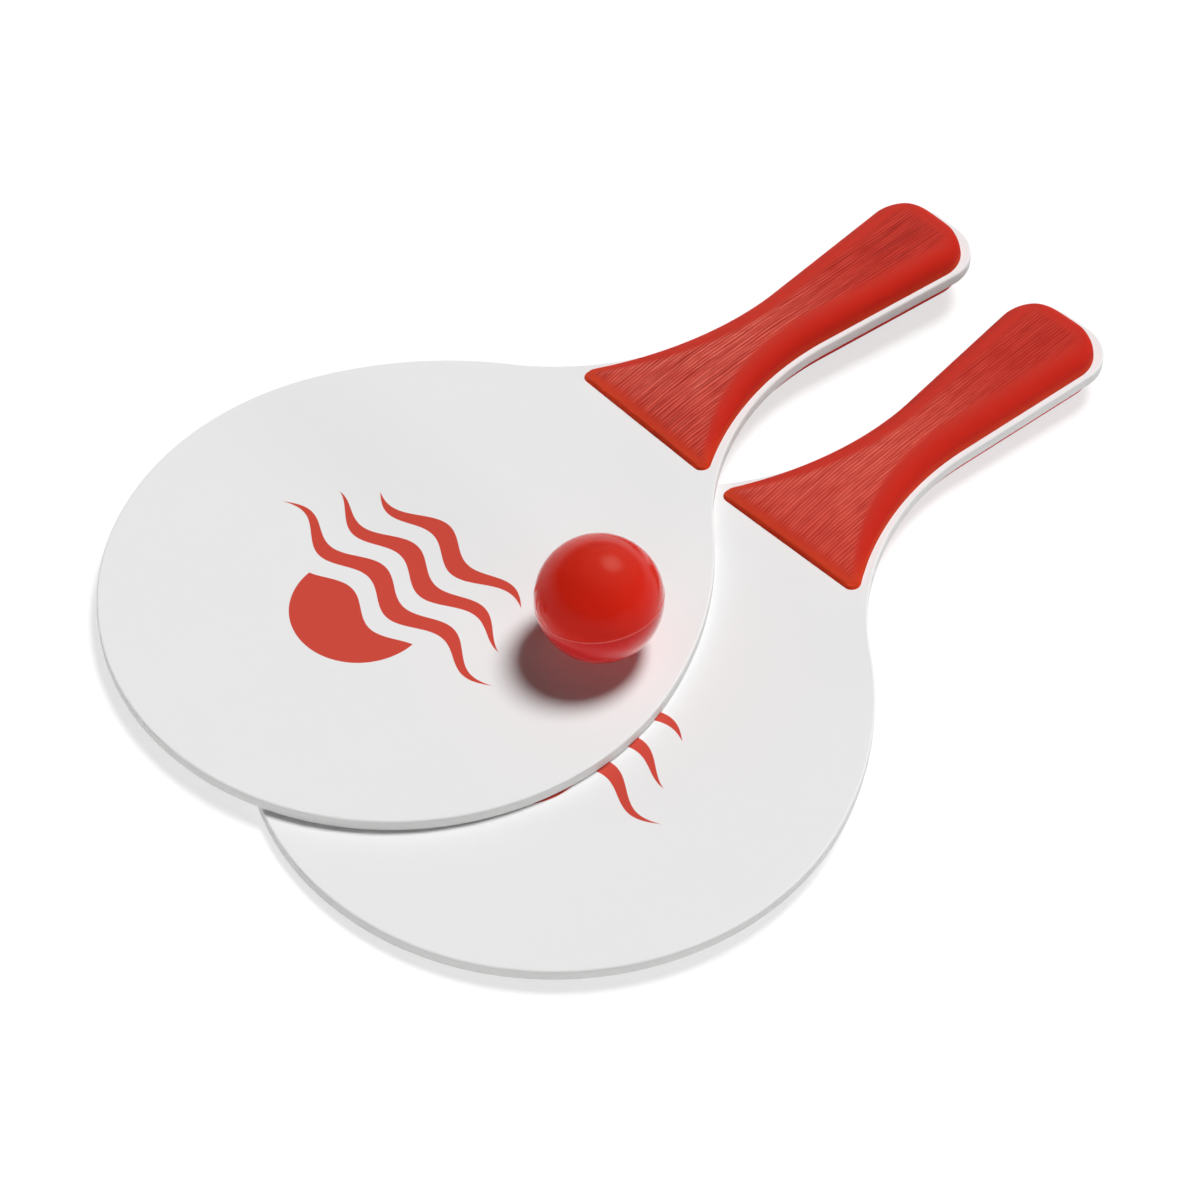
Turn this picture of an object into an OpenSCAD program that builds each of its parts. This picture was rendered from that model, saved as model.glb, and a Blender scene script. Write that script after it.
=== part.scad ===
// Beach tennis set: two flat paddles with moulded grips, laid one on the other, and a hollow ball.
// Each paddle is a round-bladed board with a half shell of grip on its front and its back.
// Millimetres. The floor is z = 0, the handles point to +y and the upper paddle lies towards -x.

/* [Board] */
// Diameter of the round blade
blade_d = 187; // [150:0.5:230]
// Thickness of the board
board_t = 4.5; // [3:0.1:7]
// Place where the blade's circle passes into the shoulder, in degrees from the handle line
shoulder_angle = 70; // [60:1:78]
// Radius of the shoulder
shoulder_r = 125; // [118:1:155]
// Radius of the hollow of the neck
neck_r = 94; // [75:1:115]
// Width of the handle at its narrowest place
waist_w = 27.5; // [22:0.5:34]
// Length of the handle from its narrowest place to its end
handle_l = 79.3; // [60:0.1:100]
// Widening of each side of the handle towards its end, in degrees
flare = 5.4; // [0:0.1:7]
// Radius of the corners at the handle's end
end_corner_r = 15; // [9:0.5:17]

/* [Grip shells] */
// Distance from the blade's circle to the straight front edge of the grip
grip_setback = 6.3; // [2:0.1:16]
// Strip of board left bare along the sides of the handle
side_margin = 1.7; // [1:0.1:4]
// Strip of board left bare at the handle's end
end_margin = 3.9; // [2:0.1:7]
// Extra radius of the grip's hollow flank, beyond that of the board's neck
flank_ease = 8; // [0:0.5:15]
// Radius of the corners at the front edge
front_corner_r = 3; // [1.5:0.1:5]
// Height of a shell along its ridge over the handle
grip_h = 7.5; // [6.5:0.1:12]
// Height of a shell near its front edge
front_h = 1.6; // [1.2:0.1:2.5]
// Length over which the shell rises from its front edge to full height
rise_l = 70; // [50:1:90]
// Quickness of that rise at the front, 1 is a straight slope
rise_power = 3; // [1:0.5:4]
// Fall of the crowned top from the ridge to the sides
crown_drop = 0.5; // [0:0.05:1.5]
// Width of the rounded border round the top
border_w = 5.8; // [3:0.1:7]
// Fullness of the rounded border, 2 is a plain ellipse
border_power = 2; // [2:0.1:5]
// Upright skirt that stands on the board
skirt_h = 1; // [0.5:0.1:1.1]
// Wall thickness of a shell
grip_wall = 1.8; // [1.4:0.1:2.4]
// Thickness of the cross ribs inside a shell
rib_t = 1.6; // [1:0.1:3]

/* [Pegs] */
// Diameter of the pegs on the front shell
peg_d = 5; // [4:0.1:6]
// Diameter of the bosses that carry the pegs and their sockets
boss_d = 9; // [8.5:0.1:11]
// Distance from the grip's front edge to the first peg
peg_first = 22; // [20:0.5:26]
// Distance from the last peg to the grip's end
peg_last = 20.5; // [16:0.1:26]
// Depth of the sockets in the back shell
socket_depth = 2.2; // [1.5:0.1:2.4]
// Clearance round a peg where it passes through the board
peg_clearance = 0.15; // [0.05:0.05:0.4]
// Clearance round a peg in its socket
socket_clearance = 0.05; // [0.02:0.01:0.2]
// Clearance between a peg's tip and the bottom of its socket
tip_clearance = 0.2; // [0.1:0.05:0.5]

/* [Ball] */
// Diameter of the ball
ball_d = 39.5; // [32:0.5:50]
// Wall thickness of the ball
ball_wall = 1.2; // [1:0.1:2]
// Height of the lapped joint at the seam
lap_h = 1.2; // [0.8:0.1:2]
// Clearance in the lapped joint
lap_clearance = 0.05; // [0.02:0.01:0.15]
// Set-back of the lap from the inside of the wall
lap_setback = 0.1; // [0.05:0.05:0.2]
// Place of the ball on the upper blade, across the paddle
ball_x = 58.9; // [40:0.1:70]
// Place of the ball on the upper blade, along the paddle
ball_y = 29.5; // [0:0.1:45]
// Lean of the seam to the far side, in degrees
ball_lean = 9; // [0:1:60]

/* [Stack] */
// Gap across the paddles from the front of the upper one's back grip to the neck of the lower board
stack_gap = 5; // [3.5:0.1:12]
// Shift of the upper paddle along the lower one
stack_y = 1.3; // [-2:0.1:4]
// Turn of the upper paddle against the lower one, in degrees
stack_turn = 2.8; // [0:0.1:4]
// Direction in which the lower paddle leans up from the floor, in degrees from the handle line
lean_dir = 44; // [30:1:50]
// Clearance between things that only lie on each other
lay_clearance = 0.1; // [0.05:0.05:0.3]

/* [Quality] */
// Stations along a grip
grip_stations = 40; // [24:4:48]
// Strips across a grip
grip_strips = 16; // [12:2:20]

/* [Hidden] */
$fn = 96;

board_color = "WhiteSmoke";
grip_color = "Firebrick";
ball_color = "Red";

blade_r = blade_d / 2;
ball_r = ball_d / 2;
peg_count = 3;
bay_stations = grip_stations / 4;
bay_strips = grip_strips / 2;
// How far a cutting solid reaches past the face that it opens
cut = 1;

// Unit vector at an angle from the handle line, towards +x
function heading(angle) = [sin(angle), cos(angle)];
// Mirror image of a point across the handle line
function across(p) = [-p.x, p.y];

// Board outline: blade circle, shoulder arc, neck arc, straight side and end corner.
// Each runs into the next by a hair, so that none only touches its neighbour.
blend = 0.005;
shoulder_c = -(shoulder_r - blade_r + blend) * heading(shoulder_angle);
neck_x = waist_w / 2 + neck_r;
waist_y = shoulder_c.y + sqrt(pow(shoulder_r + neck_r - blend, 2) - pow(neck_x - shoulder_c.x, 2));
neck_c = [neck_x, waist_y];
neck_angle = atan2(neck_c.x - shoulder_c.x, neck_c.y - shoulder_c.y);
neck_start = shoulder_c + (shoulder_r - blend / 2) * heading(neck_angle);
side_normal = [cos(flare), -sin(flare)];
side_start = neck_c - (neck_r - blend) * side_normal;
handle_end = waist_y + handle_l;
end_y = handle_end - end_corner_r;
end_c = [side_start.x + ((end_y - side_start.y) * sin(flare) - end_corner_r) / cos(flare), end_y];
paddle_l = blade_r + handle_end;

// Grip outline: straight front edge, hollow flank, straight side and rounded end
grip_y0 = blade_r + grip_setback;
grip_y1 = handle_end - end_margin;
grip_r1 = end_corner_r - side_margin;
flank_r = neck_r + side_margin + flank_ease;
flank_c = [waist_w / 2 - side_margin + flank_r, waist_y];
front_y = grip_y0 + front_corner_r;
front_c = [flank_c.x - sqrt(pow(flank_r + front_corner_r, 2) - pow(waist_y - front_y, 2)), front_y];
flank_y0 = flank_c.y + (front_c.y - flank_c.y) * flank_r / (flank_r + front_corner_r);
flank_end = flank_c - flank_r * side_normal;
grip_end_y = grip_y1 - grip_r1;
grip_end_x = flank_end.x + ((grip_end_y - flank_end.y) * sin(flare) - grip_r1) / cos(flare);

// Half width of the grip at a place along the paddle
function grip_half(y) =
    y < flank_y0 ? front_c.x + sqrt(max(0, pow(front_corner_r, 2) - pow(y - front_c.y, 2)))
    : y < flank_end.y ? flank_c.x - sqrt(pow(flank_r, 2) - pow(y - waist_y, 2))
    : y < grip_end_y - grip_r1 * sin(flare) ? flank_end.x + (y - flank_end.y) * tan(flare)
    : grip_end_x + sqrt(max(0, pow(grip_r1, 2) - pow(y - grip_end_y, 2)));

// Height of the ridge at a place along the paddle
function ridge(y) = grip_h - (grip_h - front_h) * pow(1 - min(1, (y - grip_y0) / rise_l), rise_power);
// What the border takes off at a distance from the edge
function border(d) = pow(1 - min(1, max(0, d / border_w)), border_power);
// Height of the top of a shell over the board
function grip_z(x, y) =
    let(half = grip_half(y))
    let(full = ridge(y) - crown_drop * pow(x / half, 2) - skirt_h)
    let(left = 1 - border(half - abs(x)) - border(min(y - grip_y0, grip_y1 - y)))
    skirt_h + max(0, full) * pow(max(0, left), 1 / border_power);

// Pegs, and the ribs halfway between them
peg_pitch = (grip_y1 - peg_last - grip_y0 - peg_first) / (peg_count - 1);
function peg_y(i) = grip_y0 + peg_first + i * peg_pitch;
bay_start = peg_y(0) + boss_d / 2 + rib_t;
rib_ys = [for (i = [0 : peg_count - 2]) peg_y(i) + peg_pitch / 2];
bays = [for (i = [0 : peg_count - 1])
        [i == 0 ? bay_start : rib_ys[i - 1] + rib_t / 2,
         i == peg_count - 1 ? grip_y1 - grip_wall : rib_ys[i] - rib_t / 2]];

// Slope of the lower paddle, which stands on its blade's rim and on the top of its back grip
lean = heading(lean_dir);
rest_tilt = asin(max([for (y = [grip_y0 : 1 : grip_y1]) for (s = [-1 : 0.1 : 1])
                      let(x = s * grip_half(y))
                      grip_z(x, y) / (x * lean.x + y * lean.y + blade_r)]));
// Shift of the upper paddle across the lower one
neck_half = neck_c.x - sqrt(pow(neck_r, 2) - pow(flank_y0 - waist_y, 2));
stack_x = grip_half(flank_y0) + neck_half + flank_y0 * sin(stack_turn) + stack_gap;
// Shifts that bring the middle of the set over the origin
set_x = stack_x / 2;
set_y = blade_r - (paddle_l + stack_y) / 2;

// The blade's disc, the shoulders' slices from its middle, and the neck and handle between hollow arcs
module board_outline() {
    circle(blade_r);
    for (side = [0, 1]) mirror([side, 0]) {
        reach = 4 * shoulder_r;
        overlap_angle = 5;
        intersection() {
            translate(shoulder_c) circle(shoulder_r);
            polygon([[0, 0], reach * heading(-overlap_angle), reach * heading(shoulder_angle)]);
        }
        translate(end_c) circle(end_corner_r + blend);
    }
    side_end = end_c + end_corner_r * side_normal;
    right = [neck_start, neck_c, side_start, side_end, end_c, [end_c.x, handle_end]];
    difference() {
        polygon([[0, 0], each right, each [for (i = [len(right) - 1 : -1 : 0]) across(right[i])]]);
        for (c = [neck_c, across(neck_c)]) translate(c) circle(neck_r);
    }
}

module board() {
    color(board_color)
    difference() {
        linear_extrude(board_t) board_outline();
        for (i = [0 : peg_count - 1])
            translate([0, peg_y(i), -cut])
                cylinder(d = peg_d + 2 * peg_clearance, h = board_t + 2 * cut);
    }
}

// A lofted solid under the grip's crowned top: shrunk by an inset, lowered by a drop, down to a floor
module pillow(ya, yb, inset, drop, floor_z, stations, strips) {
    ys = [for (i = [0 : stations]) (ya + yb) / 2 - (yb - ya) / 2 * cos(180 * i / stations)];
    xs = [for (j = [0 : strips]) sin(90 * (2 * j / strips - 1))];
    row = strips + 1;
    tops = [for (y = ys) for (s = xs)
            let(x = s * (grip_half(y) - inset))
            [x, y, grip_z(x, y) - drop]];
    feet = [for (j = [0, strips]) for (i = [0 : stations])
            let(p = tops[i * row + j])
            [p.x, p.y, floor_z]];
    left = len(tops);
    right = left + stations + 1;
    top_faces = [for (i = [0 : stations - 1]) for (j = [0 : strips - 1])
                 let(k = i * row + j)
                 each [[k, k + row, k + row + 1], [k, k + row + 1, k + 1]]];
    side_faces = [for (i = [0 : stations - 1])
                  let(k = i * row)
                  let(m = k + strips)
                  each [[k, left + i, left + i + 1, k + row],
                        [m, m + row, right + i + 1, right + i],
                        [left + i, right + i, right + i + 1, left + i + 1]]];
    front_face = [left, each [0 : strips], right];
    back_face = [right + stations, each [stations * row + strips : -1 : stations * row], left + stations];
    polyhedron(concat(tops, feet), concat(top_faces, side_faces, [front_face, back_face]));
}

// A half shell standing on z = 0, with two cross ribs and a boss at each peg inside
module grip_shell() {
    difference() {
        pillow(grip_y0, grip_y1, 0, 0, 0, grip_stations, grip_strips);
        for (bay = bays)
            pillow(bay[0], bay[1], grip_wall, grip_wall, -cut, bay_stations, bay_strips);
    }
    for (i = [1 : peg_count - 1])
        translate([0, peg_y(i), 0]) cylinder(d = boss_d, h = ridge(peg_y(i)) - grip_wall / 2);
}

module front_grip() {
    peg_l = board_t + socket_depth - tip_clearance;
    color(grip_color)
    translate([0, 0, board_t])
    union() {
        grip_shell();
        for (i = [0 : peg_count - 1])
            translate([0, peg_y(i), -peg_l]) cylinder(d = peg_d, h = peg_l + skirt_h);
    }
}

module back_grip() {
    color(grip_color)
    mirror([0, 0, 1])
    difference() {
        grip_shell();
        for (i = [0 : peg_count - 1])
            translate([0, peg_y(i), -cut])
                cylinder(d = peg_d + 2 * socket_clearance, h = socket_depth + cut);
    }
}

// One half of the hollow ball, above or below its seam at z = 0
module ball_cup(up) {
    intersection() {
        difference() {
            sphere(r = ball_r);
            sphere(r = ball_r - ball_wall);
        }
        translate([-ball_d, -ball_d, up ? 0 : -2 * ball_d]) cube(2 * ball_d);
    }
}

// The ring that laps the seam, wider by a clearance where it is cut out of the upper half
module ball_lap(clearance) {
    difference() {
        translate([0, 0, -lap_h])
            cylinder(r = ball_r - ball_wall / 2 + clearance, h = 2 * lap_h + clearance);
        translate([0, 0, -lap_h - cut])
            cylinder(r = ball_r - ball_wall + lap_setback - clearance, h = 2 * (lap_h + cut));
    }
}

module ball_lower() {
    color(ball_color)
    union() {
        ball_cup(false);
        ball_lap(0);
    }
}

module ball_upper() {
    color(ball_color)
    difference() {
        ball_cup(true);
        ball_lap(lap_clearance);
    }
}

// Places: the lower paddle leans up about the point of its rim that stands on the floor
module lower_place() {
    stand = blade_r * [lean.x, lean.y, 0];
    translate([set_x, set_y, 0] - stand)
        rotate(rest_tilt, [lean.y, -lean.x, 0]) translate(stand) children();
}

module upper_place() {
    lower_place()
        translate([-stack_x, stack_y, board_t + lay_clearance]) rotate(-stack_turn) children();
}

module ball_place() {
    upper_place()
        translate([ball_x, ball_y, board_t + lay_clearance + ball_r]) rotate([0, -ball_lean, 0]) children();
}

lower_place() board();  // lower_board
lower_place() front_grip();  // lower_front_grip
lower_place() back_grip();  // lower_back_grip
upper_place() board();  // upper_board
upper_place() front_grip();  // upper_front_grip
upper_place() back_grip();  // upper_back_grip
ball_place() ball_lower();  // ball_lower_half
ball_place() ball_upper();  // ball_upper_half
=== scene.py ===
"""Beach tennis set: two white paddles with red moulded grips, laid overlapping, and a hollow red ball."""
import math

import bpy
import numpy as np
from mathutils import Matrix, Vector


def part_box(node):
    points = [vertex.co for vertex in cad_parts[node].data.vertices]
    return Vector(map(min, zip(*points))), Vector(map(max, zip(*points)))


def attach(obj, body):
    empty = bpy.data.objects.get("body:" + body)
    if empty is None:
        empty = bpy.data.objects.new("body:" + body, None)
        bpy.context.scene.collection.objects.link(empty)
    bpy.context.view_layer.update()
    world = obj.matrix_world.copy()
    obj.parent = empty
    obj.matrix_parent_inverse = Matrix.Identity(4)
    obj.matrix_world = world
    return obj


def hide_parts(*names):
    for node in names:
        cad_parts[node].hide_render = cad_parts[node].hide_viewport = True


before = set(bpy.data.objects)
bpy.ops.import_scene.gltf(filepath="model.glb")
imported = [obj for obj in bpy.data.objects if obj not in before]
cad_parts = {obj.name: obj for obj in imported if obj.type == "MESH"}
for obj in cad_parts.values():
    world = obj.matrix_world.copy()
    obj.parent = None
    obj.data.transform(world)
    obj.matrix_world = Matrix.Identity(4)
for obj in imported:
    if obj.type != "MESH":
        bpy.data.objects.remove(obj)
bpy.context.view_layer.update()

MM = 0.001
TINY = 1e-6

# Board sizes, in millimetres and degrees, as in the part's source apart from the eased edge
BLADE_R = 93.5
BOARD_T = 4.5
SHOULDER_ANGLE = 70
SHOULDER_R = 125
NECK_R = 94
WAIST_W = 27.5
HANDLE_L = 79.3
FLARE = 5.4
END_CORNER_R = 15
EDGE_ROUND = 0.7

# Grip sizes, as in the part's source apart from the sink marks and the rounded foot
GRIP_SETBACK = 6.3
SIDE_MARGIN = 1.7
END_MARGIN = 3.9
FLANK_EASE = 8
FRONT_CORNER_R = 3
GRIP_H = 7.5
FRONT_H = 1.6
RISE_L = 70
RISE_POWER = 3
CROWN_DROP = 0.5
BORDER_W = 5.8
BORDER_POWER = 2
SKIRT_H = 1
PEG_FIRST = 22
PEG_LAST = 20.5
PEG_COUNT = 3
SINK_DEPTH = 0.14
SINK_R = 3.2
FOOT_ROUND = 1
FOOT_LEFT = 0.1
FOOT_POWER = 1.5

# The grips' grain: the plain border is wider where the shell is higher, and at the waist the ridges are worn
# smoother and painted paler as a painted sheen
PLAIN_LOW = 1.5
PLAIN_RISE = 5
GRAIN_FADE = 2.5
GRAIN_PITCH = 1.1
THIN_H = 2.5
SCORE_DEPTH = dict(upper_paddle=1.0, lower_paddle=0.3)
WEAR_SHEEN_FROM = 205
WEAR_SHEEN_FULL = 145

# Ball sizes, and the bead at its seam with a painted highlight along it
BALL_R = 19.75
BALL_WALL = 1.2
BALL_LEAN = 9
SEAM_BEAD_H = 0.12
SEAM_BEAD_W = 0.35
SEAM_LINE = (0.45, 0.1)

# How finely the meshes are made. The ball's profile is finer from an angle near its seam
OUTLINE_STEP = 1.2
EDGE_STEPS = 6
FACE_INSETS = (3, 0.2)
GRIP_ROWS = 150
GRIP_COLUMNS = 84
BALL_SEGMENTS = 160
BALL_STEPS = 48
SEAM_FROM = 80
SEAM_STEPS = 30
INSIDE_STEPS = 40

# A CAD triangle that faces up by more than this belongs to a board's front
FRONT_FACING = 0.9

# The printed sign, over the blade's middle
SIGN_Y = -4
SIGN_SUN_R = 22
SIGN_SUN_Y = 12
SIGN_SUN_SOFT = 0.1
WAVE_COUNT = 3
WAVE_HALF_L = 52
WAVE_SHORTER = 9
WAVE_FIRST_Y = 2
WAVE_GAP = 13
WAVE_PITCH = 34
WAVE_SWING = 3.2
WAVE_HALF_W = 3.6
WAVE_TRIM = 0.2
INK_SOFT = 0.12

# Depth of the fine relief in the shaders, in millimetres
PEEL_DEPTH = 0.03
GRAIN_DEPTH = 0.04
SCUFF_DEPTH = 0.02

# Camera, in the lower paddle's own frame
IMAGE_PX = 1200
FOCAL_PX = 4022
SENSOR_MM = 36
CAMERA_AT = (556.36, -528.76, 940.85)
CAMERA_TO = (-24.23, 42.52, 4.5)
CAMERA_ROLL = -0.2

# Lamps, with headings in degrees from +Y towards +X. Those of the grips and the ball show only as shine
KEY = dict(toward=0, elevation=65.5, spread=20, strength=3.23)
FILLS = (
    dict(toward=90, elevation=10, spread=16, strength=0.6),
    dict(toward=150, elevation=2, spread=12, strength=0.8),
    dict(toward=225, elevation=2, spread=12, strength=0.9),
)
GRIP_SHEEN = dict(toward=296, elevation=37, spread=26, strength=4.0, tint=(1, 0.91, 0.72))
GRIP_GLINT = dict(toward=-12, elevation=59, spread=24, strength=2.6, tint=(1, 0.92, 0.76))
BALL_GLINT = dict(toward=-12, elevation=59, spread=30, strength=1.25, tint=(0.65, 0.98, 0.8))
BALL_HALO = dict(toward=-12, elevation=62, spread=84, strength=1.3, tint=(1, 0.95, 0.7))
BALL_RIM = dict(toward=-15, elevation=38, spread=156, strength=1.5, tint=(1, 0.93, 0.85))

# Sky and floor. The floor's white is split into what is lit, so that it keeps the shadow, and a lift
SKY_STRENGTH = 0.009
FLOOR_HALF = 20
FLOOR_SPECK = 900
FLOOR_WHITE = 0.88
FLOOR_SEEN = 0.32
FLOOR_LIFT = 0.71

# Linear colours
RED_GRIP = (0.53, 0.018, 0.009)
RED_GRIP_THIN = (0.60, 0.040, 0.011)
RED_GRIP_GROOVE_SHADE = (0.38, 0.006, 0.003)
RED_GRIP_SCORE = (0.24, 0.003, 0.002)
RED_GRIP_PAINTED_SHEEN = (0.66, 0.060, 0.036)
RED_BALL = (0.52, 0.016, 0.006)
RED_BALL_LOW_REFLECTION = (0.50, 0.018, 0.020)
RED_GLOW_TOP = (0.04, 0.001, 0.0005)
RED_GLOW_SIDE = (0.12, 0.001, 0.001)
RED_SEAM_HIGHLIGHT = (0.75, 0.22, 0.20)
RED_INK = (0.60, 0.070, 0.048)
WHITE_LACQUER = (0.83, 0.83, 0.83)
WHITE_EDGE_SHADED = (0.76, 0.755, 0.75)


def heading(degrees):
    """Unit vector at an angle from the handle line, towards +x."""
    a = np.radians(degrees)
    return np.array([np.sin(a), np.cos(a)])


def smooth(t):
    """Smooth step from 0 to 1."""
    u = np.clip(t, 0, 1)
    return u * u * (3 - 2 * u)


# The board's outline, worked out as in the part's source
SHOULDER_C = -(SHOULDER_R - BLADE_R) * heading(SHOULDER_ANGLE)
NECK_X = WAIST_W / 2 + NECK_R
WAIST_Y = SHOULDER_C[1] + math.sqrt((SHOULDER_R + NECK_R) ** 2 - (NECK_X - SHOULDER_C[0]) ** 2)
NECK_C = np.array([NECK_X, WAIST_Y])
NECK_ANGLE = math.degrees(math.atan2(*(NECK_C - SHOULDER_C)))
SIDE_ANGLE = 90 + FLARE
SIDE_START = NECK_C - NECK_R * heading(SIDE_ANGLE)
HANDLE_END = WAIST_Y + HANDLE_L


def corner_x(start, y, r):
    """Where the centre of a corner of radius r lies at y, inside a handle side that begins at start."""
    f = math.radians(FLARE)
    return start[0] + ((y - start[1]) * math.sin(f) - r) / math.cos(f)


END_C = np.array([corner_x(SIDE_START, HANDLE_END - END_CORNER_R, END_CORNER_R), HANDLE_END - END_CORNER_R])

# The grip's outline
GRIP_Y0 = BLADE_R + GRIP_SETBACK
GRIP_Y1 = HANDLE_END - END_MARGIN
GRIP_R1 = END_CORNER_R - SIDE_MARGIN
FLANK_R = NECK_R + SIDE_MARGIN + FLANK_EASE
FLANK_C = np.array([WAIST_W / 2 - SIDE_MARGIN + FLANK_R, WAIST_Y])
FRONT_Y = GRIP_Y0 + FRONT_CORNER_R
FRONT_X = FLANK_C[0] - math.sqrt((FLANK_R + FRONT_CORNER_R) ** 2 - (WAIST_Y - FRONT_Y) ** 2)
FLANK_Y0 = WAIST_Y + (FRONT_Y - WAIST_Y) * FLANK_R / (FLANK_R + FRONT_CORNER_R)
FLANK_END = FLANK_C - FLANK_R * heading(SIDE_ANGLE)
GRIP_END_Y = GRIP_Y1 - GRIP_R1
GRIP_END_X = corner_x(FLANK_END, GRIP_END_Y, GRIP_R1)
PEG_YS = np.linspace(GRIP_Y0 + PEG_FIRST, GRIP_Y1 - PEG_LAST, PEG_COUNT)


def grip_half(y):
    """Half width of the grip at places along the paddle."""
    corner = FRONT_X + np.sqrt(np.maximum(0, FRONT_CORNER_R ** 2 - (y - FRONT_Y) ** 2))
    flank = FLANK_C[0] - np.sqrt(np.maximum(0, FLANK_R ** 2 - (y - WAIST_Y) ** 2))
    side = FLANK_END[0] + (y - FLANK_END[1]) * math.tan(math.radians(FLARE))
    end = GRIP_END_X + np.sqrt(np.maximum(0, GRIP_R1 ** 2 - (y - GRIP_END_Y) ** 2))
    last = GRIP_END_Y - GRIP_R1 * math.sin(math.radians(FLARE))
    return np.where(y < FLANK_Y0, corner, np.where(y < FLANK_END[1], flank, np.where(y < last, side, end)))


def border(d):
    """What the rounded border takes off at a distance from the edge."""
    return (1 - np.clip(d / BORDER_W, 0, 1)) ** BORDER_POWER


def grip_height(x, y):
    """Height of a grip shell's top over the board, with its rounded foot and the sink marks over its pegs."""
    half = grip_half(y)
    ridge = GRIP_H - (GRIP_H - FRONT_H) * (1 - np.minimum(1, (y - GRIP_Y0) / RISE_L)) ** RISE_POWER
    full = np.maximum(0, ridge - CROWN_DROP * (x / half) ** 2 - SKIRT_H)
    sides = half - np.abs(x)
    ends = np.minimum(y - GRIP_Y0, GRIP_Y1 - y)
    left = 1 - border(sides) - border(ends)
    inward = np.clip(np.minimum(sides, ends) / FOOT_ROUND, 0, 1)
    foot = FOOT_LEFT + (1 - FOOT_LEFT) * (1 - (1 - inward) ** FOOT_POWER)
    sink = sum(np.exp(-(x ** 2 + (y - p) ** 2) / SINK_R ** 2) for p in PEG_YS)
    return SKIRT_H * foot + full * np.maximum(0, left) ** (1 / BORDER_POWER) - SINK_DEPTH * sink


def mesh_object(node, body, points, faces, fields, material):
    """A smooth mesh from points in the row's frame, in metres, that rides a body and stands for a CAD node.
    Fields are named values at the points, for the shaders."""
    name = node + "_finish"
    mesh = bpy.data.meshes.new(name)
    mesh.from_pydata([tuple(p) for p in points], [], [tuple(int(i) for i in f) for f in faces])
    mesh.validate()
    mesh.shade_smooth()
    mesh.materials.append(material)
    for field, values in fields.items():
        values = np.asarray(values, np.float32)
        kind, key = ("FLOAT_VECTOR", "vector") if values.ndim == 2 else ("FLOAT", "value")
        attribute = mesh.attributes.new(field, kind, "POINT")
        attribute.data.foreach_set(key, values.ravel())
    piece = bpy.data.objects.new(name, mesh)
    bpy.context.scene.collection.objects.link(piece)
    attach(piece, body)
    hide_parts(node)
    return piece


def placed(place, points):
    """Points in a paddle's own frame, in millimetres, brought into the row's frame, in metres."""
    m = np.array(place)
    return np.asarray(points) @ m[:3, :3].T * MM + m[:3, 3]


def board_place(node):
    """A paddle's own frame, read from its CAD board: origin on the back face at the blade's middle, +y along
    the handle and +z out of the front face."""
    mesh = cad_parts[node].data
    mesh.calc_loop_triangles()
    co = np.array([v.co for v in mesh.vertices])
    tris = co[np.array([t.vertices for t in mesh.loop_triangles])]
    cross = np.cross(tris[:, 1] - tris[:, 0], tris[:, 2] - tris[:, 0]) / 2
    area = np.linalg.norm(cross, axis=1)
    front = cross[:, 2] > FRONT_FACING * area
    tris, area = tris[front], area[front]
    z = cross[front].sum(0)
    z /= np.linalg.norm(z)
    middle = (tris.mean(1) * area[:, None]).sum(0) / area.sum()
    corners = tris - middle
    total = corners.sum(1)
    spread = np.einsum("t,tik,til->kl", area, corners, corners) + np.einsum("t,tk,tl->kl", area, total, total)
    y = np.linalg.eigh(spread)[1][:, 2]
    along = (co - middle) @ y
    if along.max() < -along.min():
        y, along = -y, -along
    x = np.cross(y, z)
    origin = middle + y * (along.max() - HANDLE_END * MM) - z * BOARD_T * MM
    place = np.identity(4)
    place[:3, :3] = np.column_stack([x, y, z])
    place[:3, 3] = origin
    return Matrix(place)


def outline():
    """The board's outline and outward normals, from the blade's far end by +x to the handle and back."""
    arcs = [
        (np.zeros(2), BLADE_R, 180, SHOULDER_ANGLE),
        (SHOULDER_C, SHOULDER_R, SHOULDER_ANGLE, NECK_ANGLE),
        (NECK_C, -NECK_R, NECK_ANGLE, SIDE_ANGLE),
        (END_C, END_CORNER_R, SIDE_ANGLE, 0),
    ]
    points, normals = [], []
    for centre, r, start, end in arcs:
        count = max(4, round(abs(r) * math.radians(abs(end - start)) / OUTLINE_STEP))
        for a in np.linspace(start, end, count + 1):
            normal = heading(a)
            point = centre + r * normal
            if not points or np.linalg.norm(point - points[-1]) > TINY:
                points.append(point)
                normals.append(normal)
    points, normals = np.array(points), np.array(normals)
    mirror = np.array([-1, 1])
    return [np.vstack([half, half[:0:-1] * mirror]) for half in (points, normals)]


def board_profile():
    """Inset and height of the loops that go round the board's edge, from its back to its front."""
    quarter = [(1 - math.sin(a), 1 - math.cos(a)) for a in np.linspace(0, math.pi / 2, EDGE_STEPS)]
    lower = [(EDGE_ROUND * i, EDGE_ROUND * h) for i, h in quarter]
    lower = [(EDGE_ROUND + inset, 0) for inset in FACE_INSETS] + lower
    return lower + [(i, BOARD_T - h) for i, h in reversed(lower)]


def make_board(node, body, place, material):
    """A board with softly rounded edges all round."""
    points, normals = outline()
    n = len(points)
    loops = [np.column_stack([points - normals * inset, np.full(n, h)]) for inset, h in board_profile()]
    local = np.vstack(loops)
    faces = []
    for k in range(len(loops) - 1):
        for i in range(n):
            j = (i + 1) % n
            faces.append((k * n + i, k * n + j, (k + 1) * n + j, (k + 1) * n + i))
    faces.append(tuple(range(n - 1, -1, -1)))
    faces.append(tuple(range((len(loops) - 1) * n, len(loops) * n)))
    mesh_object(node, body, placed(place, local), faces, {"paddle": local}, material)


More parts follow.
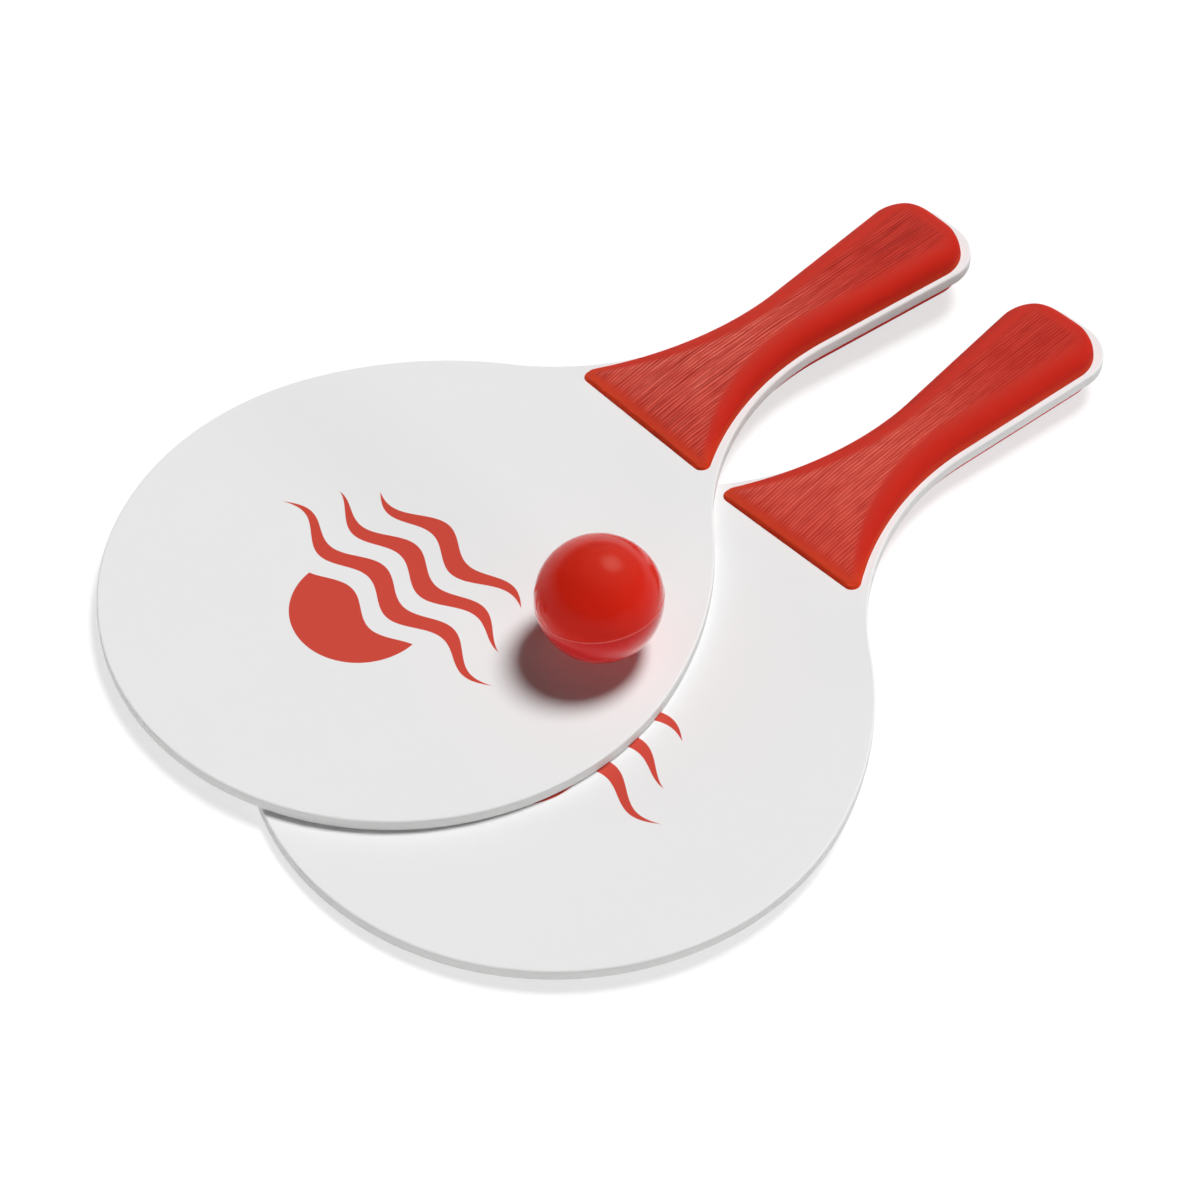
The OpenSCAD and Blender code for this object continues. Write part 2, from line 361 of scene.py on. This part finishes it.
def make_grip(node, body, place, back, material, rows=GRIP_ROWS, columns=GRIP_COLUMNS):
    """A crowned grip shell on the front of a board, or on its back."""
    t = np.linspace(0, math.pi, rows + 1)
    ys = (GRIP_Y0 + GRIP_Y1) / 2 - (GRIP_Y1 - GRIP_Y0) / 2 * np.cos(t)
    ss = np.sin(np.linspace(-math.pi / 2, math.pi / 2, columns + 1))
    x = grip_half(ys)[:, None] * ss[None, :]
    y = np.repeat(ys[:, None], columns + 1, axis=1)
    z = grip_height(x, y)
    edge = np.minimum(grip_half(ys)[:, None] - np.abs(x), np.minimum(y - GRIP_Y0, GRIP_Y1 - y))
    tops = np.column_stack([x.ravel(), y.ravel(), z.ravel()])
    feet = np.vstack([np.column_stack([x[:, j], ys, np.zeros(rows + 1)]) for j in (0, columns)])
    local = np.vstack([tops, feet])
    row = columns + 1
    left, right = len(tops), len(tops) + rows + 1
    faces = []
    for i in range(rows):
        for j in range(columns):
            k = i * row + j
            faces.append((k, k + 1, k + row + 1, k + row))
        k, m = i * row, i * row + columns
        faces.append((k, k + row, left + i + 1, left + i))
        faces.append((m, right + i, right + i + 1, m + row))
        faces.append((left + i, left + i + 1, right + i + 1, right + i))
    faces.append((right, *range(columns, -1, -1), left))
    faces.append((left + rows, *range(rows * row, rows * row + columns + 1), right + rows))
    flip = -1 if back else 1
    shown = local * [1, 1, flip] + [0, 0, 0 if back else BOARD_T]
    if back:
        faces = [f[::-1] for f in faces]
    plain = PLAIN_LOW + PLAIN_RISE * (z.ravel() - SKIRT_H) / (GRIP_H - SKIRT_H)
    grain = np.concatenate([smooth((edge.ravel() - plain) / GRAIN_FADE), np.zeros(len(feet))])
    thin = 1 - smooth((local[:, 2] - SKIRT_H) / THIN_H)
    fields = {"paddle": local, "grain": grain, "scored": grain * SCORE_DEPTH[body], "thin": thin}
    return mesh_object(node, body, placed(place, shown), faces, fields, material)


def revolve(profile, segments=BALL_SEGMENTS):
    """Points and faces of a closed profile turned about z. A profile point on the axis becomes a pole."""
    points, rings = [], []
    angles = np.linspace(0, 2 * math.pi, segments, endpoint=False)
    for r, z in profile:
        first = len(points)
        if r < TINY:
            points.append((0, 0, z))
            rings.append([first] * segments)
        else:
            points += [(r * math.cos(a), r * math.sin(a), z) for a in angles]
            rings.append(list(range(first, first + segments)))
    faces = []
    for k in range(len(rings) - 1):
        lower, upper = rings[k], rings[k + 1]
        for i in range(segments):
            j = (i + 1) % segments
            corners = [lower[i], lower[j], upper[j], upper[i]]
            faces.append(tuple(dict.fromkeys(corners)))
    return np.array(points), faces


def ball_profile(up):
    """Half a ball's outside and inside, from pole to seam and back. The upper half has the weld bead."""
    crown = np.linspace(0, SEAM_FROM, BALL_STEPS, endpoint=False)
    profile = []
    for a in np.radians(np.concatenate([crown, np.linspace(SEAM_FROM, 90, SEAM_STEPS)])):
        bead = SEAM_BEAD_H * math.exp(-(BALL_R * math.cos(a) / SEAM_BEAD_W) ** 2) if up else 0
        profile.append(((BALL_R + bead) * math.sin(a), (BALL_R + bead) * math.cos(a)))
    inside = BALL_R - BALL_WALL
    angles = np.linspace(math.pi / 2, 0, INSIDE_STEPS)
    profile += [(inside * math.sin(a), inside * math.cos(a)) for a in angles]
    if up:
        return profile[::-1]
    return [(r, -z) for r, z in profile]


def make_ball_half(node, place, up, material):
    """Half of the hollow ball."""
    local, faces = revolve(ball_profile(up))
    return mesh_object(node, "ball", placed(place, local), faces, {"ball": local}, material)


def ball_place(upper):
    """The ball's own frame: its middle from the CAD halves, its seam along the upper paddle and leaning."""
    boxes = [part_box(n) for n in ("ball_lower_half", "ball_upper_half")]
    low = Vector(min(b[0][i] for b in boxes) for i in range(3))
    high = Vector(max(b[1][i] for b in boxes) for i in range(3))
    turned = upper.to_3x3().to_4x4() @ Matrix.Rotation(math.radians(-BALL_LEAN), 4, "Y")
    return Matrix.Translation((low + high) / 2) @ turned


class Value:
    """A number in a shader: a socket whose arithmetic adds Math nodes."""

    def __init__(self, shader, socket):
        self.shader = shader
        self.socket = socket

    def math(self, operation, *values):
        """A Math node."""
        return self.shader.node("ShaderNodeMath", {"operation": operation}, dict(enumerate(values)))

    def __add__(self, other):
        return self.math("ADD", self, other)

    def __radd__(self, other):
        return self.math("ADD", other, self)

    def __sub__(self, other):
        return self.math("SUBTRACT", self, other)

    def __rsub__(self, other):
        return self.math("SUBTRACT", other, self)

    def __mul__(self, other):
        return self.math("MULTIPLY", self, other)

    def __rmul__(self, other):
        return self.math("MULTIPLY", other, self)

    def __truediv__(self, other):
        return self.math("DIVIDE", self, other)

    def __pow__(self, other):
        return self.math("POWER", self, other)

    def sin(self):
        return self.math("SINE", self)

    def abs(self):
        return self.math("ABSOLUTE", self)

    def most(self, other):
        return self.math("MAXIMUM", self, other)

    def step(self, low, high):
        """0 below low, 1 above high and smooth between. The two may be swapped for a falling step."""
        return self.shader.node("ShaderNodeMapRange", {"interpolation_type": "SMOOTHSTEP"},
                                {"Value": self, "From Min": low, "From Max": high, "To Min": 0, "To Max": 1})


class Shader:
    """Nodes round the one shader of a material, or of the sky."""

    def __init__(self, name, surface="Principled BSDF", kind="materials", **uniform):
        self.owner = getattr(bpy.data, kind).new(name)
        self.owner.use_nodes = True
        self.tree = self.owner.node_tree
        self.surface = self.tree.nodes[surface]
        for socket, value in uniform.items():
            self.surface.inputs[socket.replace("_", " ")].default_value = value

    def node(self, kind, settings=None, sockets=None, output=0):
        """Adds a node: its type, its settings, and the values or links of its sockets by name or place."""
        made = self.tree.nodes.new(kind)
        for key, value in (settings or {}).items():
            setattr(made, key, value)
        for key, value in (sockets or {}).items():
            if isinstance(value, Value):
                self.tree.links.new(value.socket, made.inputs[key])
            else:
                made.inputs[key].default_value = value
        return Value(self, made.outputs[output])

    def field(self, name, output):
        """A mesh field: Vector for places, Fac for numbers."""
        return self.node("ShaderNodeAttribute", {"attribute_name": name}, output=output)

    def parts(self, vector):
        """The three numbers of a vector."""
        return [self.node("ShaderNodeSeparateXYZ", {}, {0: vector}, k) for k in range(3)]

    def seen(self):
        """1 where the camera looks, straight, off gloss or through glass, and 0 where light only bounces."""
        camera, gloss, glass = (self.node("ShaderNodeLightPath", output="Is " + ray + " Ray")
                                for ray in ("Camera", "Glossy", "Transmission"))
        return camera.most(gloss).most(glass)

    def noise(self, place, scale, detail=2.0, roughness=0.5):
        """Noise from 0 to 1 over a place, with three factors for its fineness along x, y and z."""
        stretched = self.node("ShaderNodeVectorMath", {"operation": "MULTIPLY"}, {0: place, 1: scale})
        return self.node("ShaderNodeTexNoise", {},
                         {"Vector": stretched, "Scale": 1.0, "Detail": detail, "Roughness": roughness})

    def vector(self, x, y, z):
        """A vector of three numbers."""
        return self.node("ShaderNodeCombineXYZ", {}, {0: x, 1: y, 2: z})

    def mix(self, factor, first, second):
        """Colours mixed by a number."""
        a, b = (c if isinstance(c, Value) else (*c, 1) for c in (first, second))
        return self.node("ShaderNodeMix", {"data_type": "RGBA"}, {0: factor, 6: a, 7: b}, output=2)

    def set(self, socket, value):
        """Links a value to the shader's own socket."""
        self.tree.links.new(value.socket, self.surface.inputs[socket])

    def bump(self, height, depth):
        """Fine relief, with its depth in millimetres."""
        sockets = {"Height": height, "Distance": depth * MM, "Strength": 1.0}
        self.set("Normal", self.node("ShaderNodeBump", {}, sockets))


def sun_and_waves(x, y):
    """A plain printed sign for the beach: a half sun over waves that taper to their ends, in millimetres."""
    swing = (x * (2 * math.pi / WAVE_PITCH)).sin() * WAVE_SWING
    rise = (x * x + (y - SIGN_SUN_Y) ** 2) ** 0.5
    sun = rise.step(SIGN_SUN_R + SIGN_SUN_SOFT, SIGN_SUN_R - SIGN_SUN_SOFT)
    ink = sun * (y - (swing + SIGN_SUN_Y)).step(-INK_SOFT, INK_SOFT)
    for k in range(WAVE_COUNT):
        taper = (1 - (x / (WAVE_HALF_L - WAVE_SHORTER * k)) ** 2).most(0)
        off = (y - (swing + (WAVE_FIRST_Y - WAVE_GAP * k))).abs()
        ink = ink.most((taper * WAVE_HALF_W - WAVE_TRIM - off).step(-INK_SOFT, INK_SOFT))
    return ink


def white_lacquer():
    """White lacquer sprayed on wood: soft orange peel, a fibrous edge whose white is painted greyer as
    painted shade, and a printed sign.
    """
    s = Shader("white_lacquer", IOR=1.3)
    place = s.field("paddle", "Vector")
    x, y, z = s.parts(place)
    cloud = s.noise(place, (0.02, 0.02, 0.02), 3)
    peel = s.noise(place, (0.55, 0.55, 0.55), 2)
    fibre = s.noise(place, (0.25, 0.25, 2.4), 3, 0.6)
    face = (z - BOARD_T / 2).abs().step(BOARD_T / 2 - EDGE_ROUND, BOARD_T / 2 - 0.1)
    # Painted shade: the edge's white is greyer than the face's
    edge_shaded_tone = s.mix(fibre.step(0.35, 0.75), WHITE_EDGE_SHADED, [c * 0.95 for c in WHITE_EDGE_SHADED])
    face_tone = s.mix(cloud, WHITE_LACQUER, [c * 0.985 for c in WHITE_LACQUER])
    white = s.mix(face, edge_shaded_tone, face_tone)
    front = (z - BOARD_T).step(-0.3, -0.1)
    ink = sun_and_waves(x, SIGN_Y - y) * front
    s.set("Base Color", s.mix(ink, white, RED_INK))
    s.set("Roughness", 0.42 + peel * 0.08 + (1 - face) * 0.12 + ink * 0.06)
    s.bump(peel * 0.5 + (1 - face) * fibre * 0.8 + ink * 0.4, PEEL_DEPTH)
    return s.owner


def red_grip():
    """Moulded red plastic with a fine grain of broken lines along the panel, smooth on the border. Its
    grooves are darkened as painted shade, and its ridges are paler towards the waist as a painted sheen.
    """
    s = Shader("red_grip_plastic", IOR=1.2)
    place = s.field("paddle", "Vector")
    grain = s.field("grain", "Fac")
    scored = s.field("scored", "Fac")
    thin = s.field("thin", "Fac")
    x, y, _ = s.parts(place)
    across = x + (s.noise(place, (0.10, 0.03, 0.0), 2) - 0.5) * 2
    lines = (across * (2 * math.pi / GRAIN_PITCH)).sin().step(-0.95, 0.95)
    breaks = s.noise(s.vector(across, y, 3), (0.75, 0.14, 1), 2).step(0.32, 0.62)
    streaks = s.noise(s.vector(across, y, 7), (0.6, 0.035, 1), 2, 0.6).step(0.38, 0.62)
    scores = s.noise(s.vector(across, y, 11), (1.7, 0.035, 1), 1).step(0.46, 0.66) * scored
    relief = (lines * 0.7 + streaks * 0.3) * (0.45 + breaks * 0.55)
    wear_and_sheen = y.step(WEAR_SHEEN_FROM, WEAR_SHEEN_FULL)
    patch = s.noise(place, (0.05, 0.035, 0.05), 2)
    mottled = s.noise(place, (0.9, 0.9, 0.9), 2)
    tone = s.mix(thin, RED_GRIP, RED_GRIP_THIN)
    # Painted shade: the grooves between the grain's ridges are darkened, a little less at the waist
    tone = s.mix((1 - relief) * grain * (0.75 - wear_and_sheen * 0.2 + patch * 0.2), tone, RED_GRIP_GROOVE_SHADE)
    # Painted sheen: the grain's ridges are mixed towards a paler pink, most at the waist
    tone = s.mix(relief * grain * (0.35 + wear_and_sheen * 0.65), tone, RED_GRIP_PAINTED_SHEEN)
    s.set("Base Color", s.mix(scores * 0.55, tone, RED_GRIP_SCORE))
    rubbed = grain * wear_and_sheen * 0.16 + relief * grain * (0.06 + wear_and_sheen * 0.28)
    s.set("Roughness", 0.72 - rubbed + mottled * 0.05 + scores * wear_and_sheen * 0.16)
    s.bump(relief * grain + mottled * 0.08, GRAIN_DEPTH)
    return s.owner


def red_ball():
    """Thin-walled glossy red plastic in two halves. The lower half is paler and pinker as a painted
    reflection of the white board, and the shell has a painted red glow for light through its wall.
    """
    s = Shader("red_ball_plastic", IOR=1.2, Coat_IOR=1.5, Coat_Roughness=0.06, Emission_Strength=1)
    place = s.field("ball", "Vector")
    z = s.parts(place)[2]
    flow = s.noise(place, (0.05, 0.05, 0.12), 3)
    scuff = s.noise(place, (0.6, 0.6, 0.6), 3)
    seam = z.abs().step(*SEAM_LINE)
    # Painted reflection: the lower half is paler and pinker, for the white board it mirrors
    tone = s.mix(z.step(-0.1, 0.1), RED_BALL_LOW_REFLECTION, RED_BALL)
    tone = s.mix(flow * 0.5, tone, [c * 0.9 for c in RED_BALL])
    # Painted highlight: a pale line along the seam bead
    s.set("Base Color", s.mix(seam * 0.4, tone, RED_SEAM_HIGHLIGHT))
    # Painted glow: a red emission, stronger low down, for light passing through the thin wall
    s.set("Emission Color", s.mix(z.step(0.35 * BALL_R, BALL_R), RED_GLOW_SIDE, RED_GLOW_TOP))
    s.set("Roughness", 0.2 + scuff * 0.06 + seam * 0.1)
    facing = s.node("ShaderNodeLayerWeight", {}, {"Blend": 0.5}, "Facing")
    s.set("Coat Weight", facing.step(0.25, 0.8) * (0.2 + 0.8 * z.step(0.5 * BALL_R, 0)))
    s.bump(scuff * 0.25 + flow, SCUFF_DEPTH)
    return s.owner


def floor_paper():
    """White paper that keeps the shadow. It shows white to the camera, off gloss and through glass."""
    s = Shader("floor_paper", Roughness=0.9, Specular_IOR_Level=0, Emission_Strength=FLOOR_LIFT)
    seen = s.seen()
    speck = s.noise(s.node("ShaderNodeNewGeometry", output="Position"), [FLOOR_SPECK] * 3, 2)
    tone = s.mix(seen, [FLOOR_WHITE] * 3, [FLOOR_SEEN] * 3)
    s.set("Base Color", s.mix(speck * 0.02, tone, (0, 0, 0)))
    s.set("Emission Color", s.mix(seen, (0, 0, 0), (1, 1, 1)))
    return s.owner


def dim_sky():
    """A dim sky that shows white low down, where the floor ends."""
    s = Shader("dim_sky", "Background", "worlds")
    z = s.parts(s.node("ShaderNodeTexCoord", output="Generated"))[2]
    s.set("Color", s.mix(s.seen() * z.step(0.3, 0.1), [SKY_STRENGTH] * 3, (1, 1, 1)))
    return s.owner


def make_camera(lower):
    """The photograph's camera, placed in the lower paddle's own frame."""
    at, to = (lower @ (Vector(p) * MM) for p in (CAMERA_AT, CAMERA_TO))
    forward = (to - at).normalized()
    right = forward.cross(lower.to_3x3().col[2]).normalized()
    up = right.cross(forward)
    axes = Matrix((right, up, -forward)).transposed().to_4x4()
    data = bpy.data.cameras.new("camera")
    data.sensor_width = SENSOR_MM
    data.lens = SENSOR_MM * FOCAL_PX / IMAGE_PX
    camera = bpy.data.objects.new("camera", data)
    camera.matrix_world = Matrix.Translation(at) @ axes @ Matrix.Rotation(math.radians(CAMERA_ROLL), 4, "Z")
    bpy.context.scene.collection.objects.link(camera)
    bpy.context.scene.camera = camera


def make_sun(name, toward, elevation, spread, strength, tint=(1, 1, 1)):
    """A distant lamp that stands at a heading and an elevation."""
    lamp = bpy.data.lights.new(name, "SUN")
    lamp.energy = strength
    lamp.color = tint
    lamp.angle = math.radians(spread)
    sun = bpy.data.objects.new(name, lamp)
    flat = heading(toward) * math.cos(math.radians(elevation))
    sun.rotation_mode = "QUATERNION"
    sun.rotation_quaternion = Vector((*flat, math.sin(math.radians(elevation)))).to_track_quat("Z", "Y")
    bpy.context.scene.collection.objects.link(sun)
    return sun


def shine_on(pieces, name, **light):
    """A distant lamp that shows only as shine, and only on some pieces."""
    lamp = make_sun(name, **light)
    lamp.visible_diffuse = False
    lit = bpy.data.collections.new(name + "_pieces")
    for piece in pieces:
        lit.objects.link(piece)
    lamp.light_linking.receiver_collection = lit


def make_stage(grips, ball_halves):
    """A white floor that keeps the shadow, a dim sky, and distant lamps: a soft one high behind the set, low
    ones before it, and some that show only as shine on the plastic."""
    scene = bpy.context.scene
    scene.view_settings.view_transform = "Standard"
    scene.world = dim_sky()

    corners = [(FLOOR_HALF * x, FLOOR_HALF * y, 0) for x, y in ((-1, -1), (1, -1), (1, 1), (-1, 1))]
    mesh = bpy.data.meshes.new("floor")
    mesh.from_pydata(corners, [], [(0, 1, 2, 3)])
    mesh.materials.append(floor_paper())
    floor = bpy.data.objects.new("floor", mesh)
    scene.collection.objects.link(floor)

    lamps = [make_sun("key", **KEY)] + [make_sun("fill_" + str(k), **fill) for k, fill in enumerate(FILLS)]
    for lamp in lamps:
        lamp.visible_glossy = False
    shine_on(grips, "grip_sheen", **GRIP_SHEEN)
    shine_on(grips, "grip_glint", **GRIP_GLINT)
    shine_on(ball_halves, "ball_glint", **BALL_GLINT)
    shine_on(ball_halves, "ball_halo", **BALL_HALO)
    shine_on(ball_halves, "ball_rim", **BALL_RIM)


places = {side: board_place(side + "_board") for side in ("lower", "upper")}
lacquer = white_lacquer()
plastic = red_grip()
grips = []
for side, place in places.items():
    body = side + "_paddle"
    make_board(side + "_board", body, place, lacquer)
    grips.append(make_grip(side + "_front_grip", body, place, False, plastic))
    grips.append(make_grip(side + "_back_grip", body, place, True, plastic))

ball = ball_place(places["upper"])
shell = red_ball()
ball_halves = [make_ball_half("ball_lower_half", ball, False, shell),
               make_ball_half("ball_upper_half", ball, True, shell)]

make_camera(places["lower"])
make_stage(grips, ball_halves)
